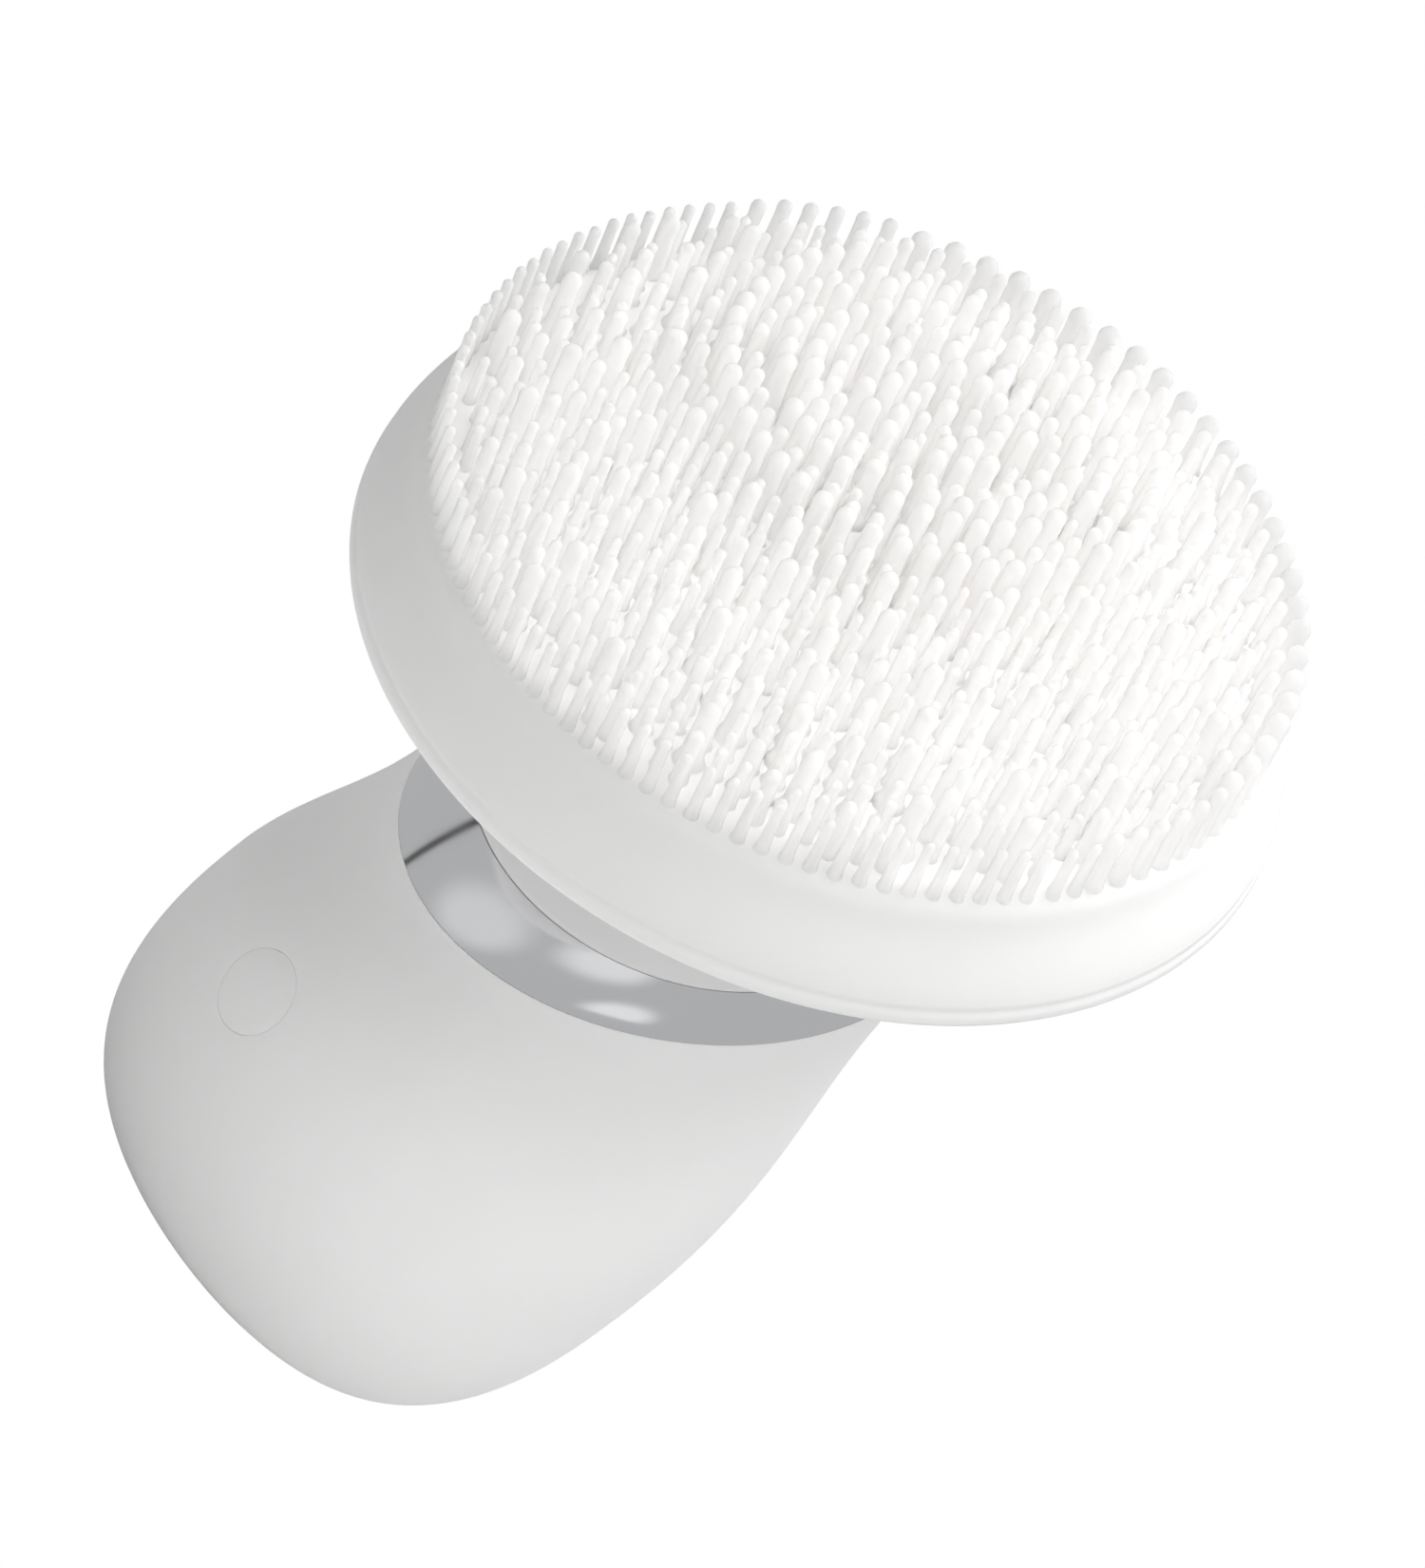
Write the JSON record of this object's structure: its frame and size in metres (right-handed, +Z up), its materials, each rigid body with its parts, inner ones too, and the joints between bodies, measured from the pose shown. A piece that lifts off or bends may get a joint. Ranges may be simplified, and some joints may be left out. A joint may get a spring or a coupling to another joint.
{
  "type": "facial cleansing brush",
  "caption": "Handheld facial cleansing brush: bulb-shaped handle, tilted round silicone brush head that spins and pulls off, chrome neck ring, front power button",
  "frame": {"origin": "centre of the flat base that the brush stands on", "axes": "+Z up along the handle, -Y to the front (the button side, which the tilted head faces), +X to the brush's left as seen from behind the button; the YZ plane is the plane of symmetry"},
  "size_m": [0.072, 0.0722, 0.0999],
  "materials": {
    "silicone_white": "translucent white silicone, satin",
    "soft_touch_white": "white soft-touch coating, matte",
    "gloss_white_plastic": "moulded white ABS",
    "chrome_plating": "bright chrome plating on plastic",
    "steel": "plain steel",
    "gear_acetal": "natural acetal",
    "frame_plastic": "dark grey moulded plastic",
    "bronze": "sintered bronze",
    "black_rubber": "black sealing rubber",
    "board_green": "solder-masked glass epoxy",
    "battery_film": "shrink film over a prismatic cell",
    "gold_plating": "gold-plated contact",
    "red_wire": "red wire insulation",
    "black_wire": "black wire insulation"
  },
  "bodies": {
    "handle": {"handle_skin": "soft_touch_white", "neck_collar": "gloss_white_plastic", "neck_gasket": "black_rubber", "chrome_ring": "chrome_plating", "shaft_seal": "black_rubber", "gearbox_base": "frame_plastic", "gearbox_cover": "frame_plastic", "gearbox_screw_1": "steel", "gearbox_screw_2": "steel", "gearbox_screw_3": "steel", "lower_bushing": "bronze", "upper_bushing": "bronze", "idler_pin": "steel", "motor_can": "steel", "motor_end_cap": "frame_plastic", "chassis": "frame_plastic", "circuit_board": "board_green", "tact_switch": "frame_plastic", "battery": "battery_film", "base_cap": "soft_touch_white", "base_gasket": "black_rubber", "base_screw_1": "steel", "base_screw_2": "steel", "charging_contact_1": "gold_plating", "charging_contact_2": "gold_plating", "motor_lead_red": "red_wire", "motor_lead_black": "black_wire", "battery_lead_red": "red_wire", "battery_lead_black": "black_wire"},
    "drive": {"drive_shaft": "steel", "output_gear": "gear_acetal"},
    "idler": {"idler_gear": "gear_acetal"},
    "rotor": {"motor_pinion": "gear_acetal", "motor_shaft": "steel"},
    "head": {"bristle_pad": "silicone_white", "pad_core": "gloss_white_plastic", "backplate": "gloss_white_plastic", "drive_socket": "gear_acetal", "head_magnet": "steel"},
    "button": {"power_button": "soft_touch_white", "switch_plunger": "frame_plastic"}
  },
  "joints": [
    {"name": "head_spin", "type": "hinge", "parent": "handle", "child": "drive", "pos_m": [0, -0.01375, 0.0685], "axis": [0, -0.6018, 0.7986], "continuous": true},
    {"name": "idler_spin", "type": "hinge", "parent": "handle", "child": "idler", "pos_m": [0.00654, -0.0202, 0.06364], "axis": [0, -0.6018, 0.7986], "continuous": true},
    {"name": "rotor_spin", "type": "hinge", "parent": "handle", "child": "rotor", "pos_m": [-0.00199, -0.02296, 0.06156], "axis": [0, -0.6018, 0.7986], "continuous": true},
    {"name": "head_pull", "type": "slide", "parent": "drive", "child": "head", "axis": [0, -0.6018, 0.7986], "range_m": [0, 0.012]},
    {"name": "button_press", "type": "slide", "parent": "handle", "child": "button", "axis": [0, 1, 0], "range_m": [0, 0.0005], "stiffness_N_per_m": 800}
  ],
  "couplings": [
    {"joint": "idler_spin", "follows": "head_spin", "ratio": -3.3333},
    {"joint": "rotor_spin", "follows": "head_spin", "ratio": 12}
  ]
}
